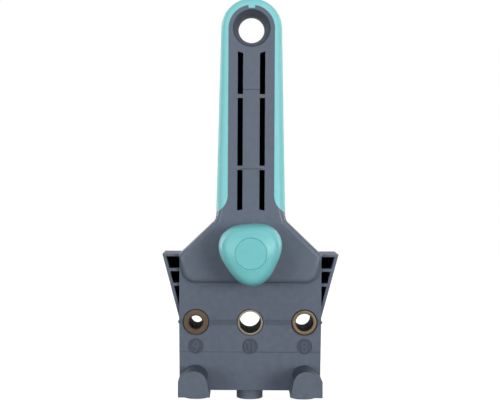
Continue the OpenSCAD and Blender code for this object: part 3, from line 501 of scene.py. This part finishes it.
# %% Body, plates, jaws and screws with rounded edges
block = rounded_copy("guide_body", "guide_block", 0.3, "jig", "dark_moulding")
handle = rounded_copy("handle_frame", "handle_core", 0.25, "jig", "dark_moulding")
grip = rounded_copy("handle_grip", "soft_grip", 0.18, "jig", "turquoise_grip", sharper_than=40)
for row in (
    ("rear_plate", "back_plate", 0.25, "jig", "dark_plate"),
    ("gear_cover", "gear_lid", 0.25, "jig", "dark_plate"),
    ("rear_plate_screws", "back_plate_screws", 0.15, "jig", "steel_screws"),
    ("gear_cover_screws", "gear_lid_screws", 0.15, "jig", "steel_screws"),
    ("guide_pin_left", "pin_left", 0.5, "jig", "dark_pins"),
    ("guide_pin_middle", "pin_middle", 0.5, "jig", "dark_pins"),
    ("guide_pin_right", "pin_right", 0.5, "jig", "dark_pins"),
    ("upper_jaw", "jaw_above", 0.25, "upper_slide", "dark_plate"),
    ("lower_jaw", "jaw_below", 0.25, "lower_slide", "dark_plate"),
    ("upper_jaw_pad", "pad_above", 0.12, "upper_slide", "pad_rubber"),
    ("lower_jaw_pad", "pad_below", 0.12, "lower_slide", "pad_rubber"),
    ("upper_jaw_screws", "jaw_screws_above", 0.15, "upper_slide", "steel_screws"),
    ("lower_jaw_screws", "jaw_screws_below", 0.15, "lower_slide", "steel_screws"),
    ("upper_rack", "rack_above", 0.12, "upper_slide", "acetal"),
    ("lower_rack", "rack_below", 0.12, "lower_slide", "acetal"),
):
    rounded_copy(*row)

# %% [markdown]
# ## Dark slots and fine lines
# Two rows of long slots run down the core, and no light reaches their floors. The mouth of the hang
# hole and the two fine lines that end the bare field are darker too. Separate pieces could line
# them, but a painted shade is enough: darker finishes stand for the shadow, and the faces are chosen
# by their place in the core.

# %% Slot walls, fine lines and the mouth of the hang hole
SLOT_INNER, SLOT_OUTER = 3.9, 6.5
SLOT_LOW, SLOT_HIGH = 52.0, 128.0
CORE_FRONT, CORE_BACK = -30.85, -21.0
LINES_LOW, LINES_HIGH = 66.0, 116.0
LINES_REACH = SLOT_INNER + 0.1
LINES_DEPTHS = (-0.12, 0.3)
HANG_Z = 138.5
HANG_REACH = 9.0


def recess_of_core(x, y, z):
    """Which finish a face of the core gets: painted shade 1 in a slot, 2 in a line or the hang hole, 0
    outside.
    """
    if SLOT_INNER < abs(x) < SLOT_OUTER and CORE_FRONT < y < CORE_BACK and SLOT_LOW < z < SLOT_HIGH:
        return 1
    in_line = abs(x) < LINES_REACH and LINES_DEPTHS[0] < y - CORE_FRONT < LINES_DEPTHS[1]
    if in_line and LINES_LOW < z < LINES_HIGH:
        return 2
    in_hang_hole = math.hypot(x, z - HANG_Z) < HANG_REACH and y > CORE_FRONT
    return 2 if in_hang_hole else 0


# Painted shade: slot_shade in the slots, ring_shade in the fine lines and the hang hole.
for shade in (slot_shade, ring_shade):
    handle.data.materials.append(shade)
for face in handle.data.polygons:
    face.material_index = recess_of_core(*(face.center / MM))
found = [face.material_index for face in handle.data.polygons]
print("slot faces", found.count(1), "line and hole faces", found.count(2))

# %% [markdown]
# ## The lobed knob
# The knob is a soft cushion with three lobes, and a cap lies flush in its middle. A cylinder could be
# scaled, but it has no lobes. So a three-sided outline is added, its corners are rounded and its
# points are pulled towards a circle. Then it is extruded ring by ring from the back to the front:
# each ring has its depth and the share by which it grows or shrinks.

# %% Knob outline
KNOB_Z = 33.8
knob_low, knob_high = (Vector(c) for c in node_box("knob"))
KNOB_BACK, KNOB_FRONT = knob_high.y / MM, knob_low.y / MM
LOBE_ANGLE = 35.0
TRIANGLE_RADIUS = 25.13
CORNER_LENGTH = 19.0
ARC_SEGMENTS, SIDE_CUTS = 28, 4
SIDE_SHARE = 0.9
CAST_SHARE, CAST_RADIUS = 0.132, 15.6


def edit(piece):
    """Opens one piece in edit mode."""
    only(piece)
    bpy.ops.object.mode_set(mode="EDIT")


def select_where(piece, kind, test):
    """Selects the vertices, edges or faces of a piece that pass a test, and opens edit mode."""
    edit(piece)
    bpy.ops.mesh.select_mode(type=kind)
    bpy.ops.mesh.select_all(action="DESELECT")
    bpy.ops.object.mode_set(mode="OBJECT")
    parts = {"VERT": piece.data.vertices, "EDGE": piece.data.edges, "FACE": piece.data.polygons}[kind]
    for part in parts:
        part.select = test(part)
    bpy.ops.object.mode_set(mode="EDIT")


bpy.ops.object.select_all(action="DESELECT")
bpy.ops.mesh.primitive_circle_add(
    vertices=3, radius=TRIANGLE_RADIUS * MM, location=(0, KNOB_BACK * MM, KNOB_Z * MM),
    rotation=(QUARTER_TURN, 0, 0))
knob = bpy.context.active_object
knob.name = "lobed_knob"
edit(knob)
bpy.ops.mesh.select_all(action="SELECT")
bpy.ops.mesh.bevel(offset=CORNER_LENGTH * MM, segments=ARC_SEGMENTS, affect="VERTICES")
bpy.ops.object.mode_set(mode="OBJECT")


def edge_length(edge):
    """The length of one edge of the knob's outline, in metres."""
    one, two = (knob.data.vertices[i].co for i in edge.vertices)
    return (one - two).length


longest = max(edge_length(e) for e in knob.data.edges)
select_where(knob, "EDGE", lambda e: edge_length(e) > SIDE_SHARE * longest)
bpy.ops.mesh.subdivide(number_cuts=SIDE_CUTS)
bpy.ops.object.mode_set(mode="OBJECT")
cast = knob.modifiers.new("rounder", "CAST")
cast.cast_type, cast.use_z = "CYLINDER", False
cast.factor, cast.size = CAST_SHARE, CAST_RADIUS * MM
cast.use_radius_as_size = False
apply_all(knob)
angles = [math.degrees(math.atan2(v.co.y, v.co.x)) for v in knob.data.vertices]
radii = [v.co.to_2d().length / MM for v in knob.data.vertices]
TIP_ANGLE = angles[radii.index(max(radii))]
print("outline", len(radii), "points, radius", round(min(radii), 2), "to", round(max(radii), 2),
      "tip at", round(TIP_ANGLE, 1))

# %% [markdown]
# ## The knob's cushion
# The photograph shows one lobe at the upper right, so the outline turns by the angle between the
# two. A filled face is extruded as a region, because that keeps the back closed. The last ring is
# bridged to the circle round the cap, and the bridge's cuts follow the curve of the cushion. A
# Subdivision Surface could round it too, but would pull the outline away from its measured size.

# %% Knob body
KNOB_RINGS = (
    (0.9, 1.045), (1.6, 1.015), (7.0, 1.0), (3.7, 0.993), (2.6, 0.978), (1.7, 0.962), (1.1, 0.95),
    (0.8, 0.938), (0.5, 0.93), (0.35, 0.918),
)
CAP_SEAT, CAP_SINK = 7.35, 1.6
BACK_SHARE = 0.943
BRIDGE_CUTS, BRIDGE_CURVE = 7, 0.5
SEAT_LIP = 0.12
middle = (0, 0, KNOB_Z * MM)

edit(knob)
bpy.ops.mesh.select_all(action="SELECT")
bpy.ops.transform.rotate(
    value=math.radians(LOBE_ANGLE - TIP_ANGLE), orient_axis="Y", center_override=middle)
bpy.ops.transform.resize(value=(BACK_SHARE, 1, BACK_SHARE), center_override=middle)
bpy.ops.mesh.edge_face_add()
depth = 0.0
for step, share in KNOB_RINGS:
    bpy.ops.mesh.extrude_region_move(TRANSFORM_OT_translate={"value": (0, -step * MM, 0)})
    bpy.ops.transform.resize(value=(share, 1, share), center_override=middle)
    depth += step
bpy.ops.mesh.delete(type="ONLY_FACE")
bpy.ops.object.mode_set(mode="OBJECT")
loop_points = len(knob.data.vertices) // (len(KNOB_RINGS) + 1)

bpy.ops.object.select_all(action="DESELECT")
bpy.ops.mesh.primitive_circle_add(
    vertices=loop_points, radius=CAP_SEAT * MM,
    location=(0, KNOB_FRONT * MM, KNOB_Z * MM), rotation=(QUARTER_TURN, 0, 0))
seat = bpy.context.active_object
edit(seat)
bpy.ops.mesh.select_all(action="SELECT")
for step, share in ((SEAT_LIP, 1 - SEAT_LIP / CAP_SEAT), (CAP_SINK, 1)):
    bpy.ops.mesh.extrude_region_move(TRANSFORM_OT_translate={"value": (0, step * MM, 0)})
    bpy.ops.transform.resize(value=(share, 1, share), center_override=middle)
bpy.ops.mesh.edge_face_add()
bpy.ops.object.mode_set(mode="OBJECT")
seat.select_set(True)
knob.select_set(True)
bpy.context.view_layer.objects.active = knob
bpy.ops.object.join()
edit(knob)
bpy.ops.mesh.select_mode(type="EDGE")
bpy.ops.mesh.select_all(action="DESELECT")
bpy.ops.mesh.select_non_manifold()
bpy.ops.mesh.bridge_edge_loops(
    number_cuts=BRIDGE_CUTS, interpolation="PATH", smoothness=BRIDGE_CURVE)
bpy.ops.mesh.select_all(action="SELECT")
bpy.ops.mesh.normals_make_consistent(inside=False)
bpy.ops.object.mode_set(mode="OBJECT")
only(knob)
bpy.ops.object.transform_apply(location=True, rotation=True, scale=True)
smooth(knob, 40)
knob.data.materials.append(knob_plastic)
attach(knob, "knob_drive")
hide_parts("knob")
print("knob", len(knob.data.polygons), "faces, depth", round(depth, 1), "of",
      round(KNOB_BACK - KNOB_FRONT, 1), "mm")

# %% [markdown]
# ## The cap in the knob
# The cap hides the screw that holds the knob. The photograph shows only its thin outline. A line
# could be painted on the knob, but a real gap casts its own shadow. So a cylinder a hair smaller
# than its seat lies flush in it, with a small bevel on its edge.

# %% Cap, flush with the knob
CAP_GAP = 0.2
CAP_EDGE = 0.18
CAP_SIDES = 96
SHARP_ANGLE = math.radians(40)


def tidy(piece, angle=32):
    """Applies the place of a new piece, turns its normals outwards and smooths it."""
    only(piece)
    bpy.ops.object.transform_apply(location=True, rotation=True, scale=True)
    edit(piece)
    bpy.ops.mesh.select_all(action="SELECT")
    bpy.ops.mesh.normals_make_consistent(inside=False)
    bpy.ops.object.mode_set(mode="OBJECT")
    smooth(piece, angle)


def cylinder(name, sides, radius, front, back, x, z):
    """A cylinder along Y between two depths, all sizes in mm: the start of a cap or a sleeve."""
    bpy.ops.object.select_all(action="DESELECT")
    bpy.ops.mesh.primitive_cylinder_add(
        vertices=sides, radius=radius * MM, depth=(back - front) * MM,
        location=(x * MM, (front + back) / 2 * MM, z * MM), rotation=(QUARTER_TURN, 0, 0))
    piece = bpy.context.active_object
    piece.name = name
    return piece


def bevel_sharp_edges(piece, width, segments=3):
    """Bevels the edges of a new piece that are sharper than SHARP_ANGLE."""
    bevel = piece.modifiers.new("edge", "BEVEL")
    bevel.width, bevel.segments = width * MM, segments
    bevel.limit_method, bevel.angle_limit = "ANGLE", SHARP_ANGLE
    apply_all(piece)


cap = cylinder(
    "flush_cap", CAP_SIDES, CAP_SEAT - CAP_GAP, KNOB_FRONT, KNOB_FRONT + CAP_SINK, 0, KNOB_Z)
bevel_sharp_edges(cap, CAP_EDGE)
tidy(cap)
cap.data.materials.append(knob_plastic)
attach(cap, "knob_drive")
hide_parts("knob_cap")
print("cap", [round(v / MM, 2) for v in cap.dimensions])

# %% [markdown]
# ## Drill guides
# The three guides are steel sleeves with one outside and three bores. A Boolean could cut the bores,
# but insets keep the mesh clean: each one starts as a cylinder, its end faces are inset to the bore,
# and the two inner loops are bridged to make the bore. The bore and its mouth are nearly black, a
# painted shade. The dark rim in the gap to the block and the darker mouth of the 6 mm guide are a
# brown painted shade of their own.

# %% Three sleeves
GUIDE_PITCH = 25.6
GUIDE_RADIUS = 6.0
GUIDE_SIDES = 96
GUIDES = (
    ("6", -GUIDE_PITCH, 3.05, 0.55, guide_brown),
    ("10", 0, 5.05, 0.22, guide_pale),
    ("8", GUIDE_PITCH, 4.05, 0.75, guide_gold),
)
RIM_SHARE = 0.6
BORE_REACH = 0.02
SHADED_MOUTH = "6"
sleeve_low, sleeve_high = node_box("bushing_6")
GUIDE_FRONT, GUIDE_BACK = sleeve_low[1] / MM, sleeve_high[1] / MM

for size, x, bore, mouth, finish in GUIDES:
    sleeve = cylinder(
        "drill_guide_" + size, GUIDE_SIDES, GUIDE_RADIUS, GUIDE_FRONT, GUIDE_BACK, x, 0)
    select_where(sleeve, "FACE", lambda f: len(f.vertices) > 4)
    bpy.ops.mesh.inset(thickness=(GUIDE_RADIUS - bore) * MM)
    bpy.ops.mesh.delete(type="ONLY_FACE")
    bpy.ops.mesh.select_mode(type="EDGE")
    bpy.ops.mesh.select_all(action="DESELECT")
    bpy.ops.mesh.select_non_manifold()
    bpy.ops.mesh.bridge_edge_loops()
    bpy.ops.object.mode_set(mode="OBJECT")
    bevel_sharp_edges(sleeve, mouth)
    tidy(sleeve)
    for material in (finish, bore_shade, brown_painted_shade):
        sleeve.data.materials.append(material)
    # Painted shade: index 1 darkens the bore, index 2 the rim and the 6 mm guide's mouth.
    shaded_reach = bore + mouth if size == SHADED_MOUTH else bore
    for face in sleeve.data.polygons:
        reach = math.hypot(face.center.x / MM - x, face.center.z / MM)
        if reach < bore + BORE_REACH:
            face.material_index = 1
        elif reach > GUIDE_RADIUS - RIM_SHARE * mouth or reach < shaded_reach:
            face.material_index = 2
    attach(sleeve, "jig")
    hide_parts("bushing_" + size)
    print(sleeve.name, "bore", 2 * bore, "faces", len(sleeve.data.polygons))

# %% [markdown]
# ## Size marks
# A round recess under each guide holds its drill size in raised digits. They stand on their heads,
# because the user reads them from above. Digits could be drawn edge by edge, but a font has them
# ready: they are set as text and made into a mesh before they are placed.

# %% Digits
MARK_DROP = 11.3
MARK_FLOOR = GUIDE_FRONT + 0.4
MARK_RISE = 0.3
DIGIT_HEIGHT = 7.6
DIGIT_WIDTH = 0.9
PAIR_WIDTH = 0.74
DIGIT_EDGE = 0.09
DIGIT_STEPS = 6

for size, x, *rest in GUIDES:
    bpy.ops.object.select_all(action="DESELECT")
    bpy.ops.object.text_add(location=(0, 0, 0))
    digits = bpy.context.active_object
    digits.name = "size_mark_" + size
    words = digits.data
    words.body, words.size = size, DIGIT_HEIGHT * MM
    words.align_x, words.align_y = "CENTER", "CENTER"
    words.extrude, words.bevel_depth, words.bevel_resolution = MARK_RISE / 2 * MM, DIGIT_EDGE * MM, 1
    words.offset = DIGIT_EDGE * MM
    words.resolution_u = DIGIT_STEPS
    only(digits)
    bpy.ops.object.convert(target="MESH")
    digits = bpy.context.active_object
    digits.scale.x = DIGIT_WIDTH if len(size) == 1 else PAIR_WIDTH
    digits.location = (x * MM, (MARK_FLOOR - MARK_RISE / 2) * MM, -MARK_DROP * MM)
    digits.rotation_euler = Euler((QUARTER_TURN, 2 * QUARTER_TURN, 0))
    edit(digits)
    bpy.ops.mesh.select_all(action="SELECT")
    bpy.ops.mesh.remove_doubles(threshold=MERGE_DISTANCE * MM)
    bpy.ops.object.mode_set(mode="OBJECT")
    tidy(digits)
    # The raised digits take the faint painted shade as well.
    digits.data.materials.append(faint_shade)
    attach(digits, "jig")
    print(digits.name, [round(v / MM, 2) for v in digits.dimensions])

# %% [markdown]
# ## Shaded places of the block
# The band between the guides, the fine line under the marks and the floors of the marks lie a little
# lower than the face, and a painted shade makes them darker. The hoods of the feet look up, where the
# studio is dark, and they get a painted shade too. Shade could be painted by hand, but here the faces
# are again chosen by their place.

# %% Darker places of the block
BAND_HALF = 1.26
BAND_DEPTHS = (0.2, 0.8)
MARK_RADIUS = 3.75
MARK_DEPTHS = (0.1, 0.7)
FACE_LINE_LOW, FACE_LINE_HIGH = -14.25, -13.7
FACE_LINE_DEPTHS = (-0.1, 0.35)
HOOD_HIGH, HOOD_REACH, HOOD_SLOPE = -15.0, 0.3, 0.3
GUIDE_CENTRES = [x for size, x, *rest in GUIDES]


def shade_of_block(x, y, z, upwards):
    """Which painted shade a face of the block gets: 1 faint, 2 mark floor, 3 hood, 0 none of them."""
    depth = y - GUIDE_FRONT
    in_band = abs(z) < BAND_HALF and BAND_DEPTHS[0] < depth < BAND_DEPTHS[1]
    in_line = FACE_LINE_LOW < z < FACE_LINE_HIGH
    in_line = in_line and FACE_LINE_DEPTHS[0] < depth < FACE_LINE_DEPTHS[1]
    if in_band or in_line:
        return 1
    from_mark = min(math.hypot(x - centre, z + MARK_DROP) for centre in GUIDE_CENTRES)
    if from_mark < MARK_RADIUS and MARK_DEPTHS[0] < depth < MARK_DEPTHS[1]:
        return 2
    return 3 if depth < -HOOD_REACH and z < HOOD_HIGH and upwards > HOOD_SLOPE else 0


# Painted shade: faint for the band and the line, darker for the mark floors and the hoods.
for shade in (faint_shade, mark_shade, hood_shade):
    block.data.materials.append(shade)
for face in block.data.polygons:
    face.material_index = shade_of_block(*(face.center / MM), face.normal.z)
found = [face.material_index for face in block.data.polygons]
print("band and line", found.count(1), "marks", found.count(2), "hoods", found.count(3))
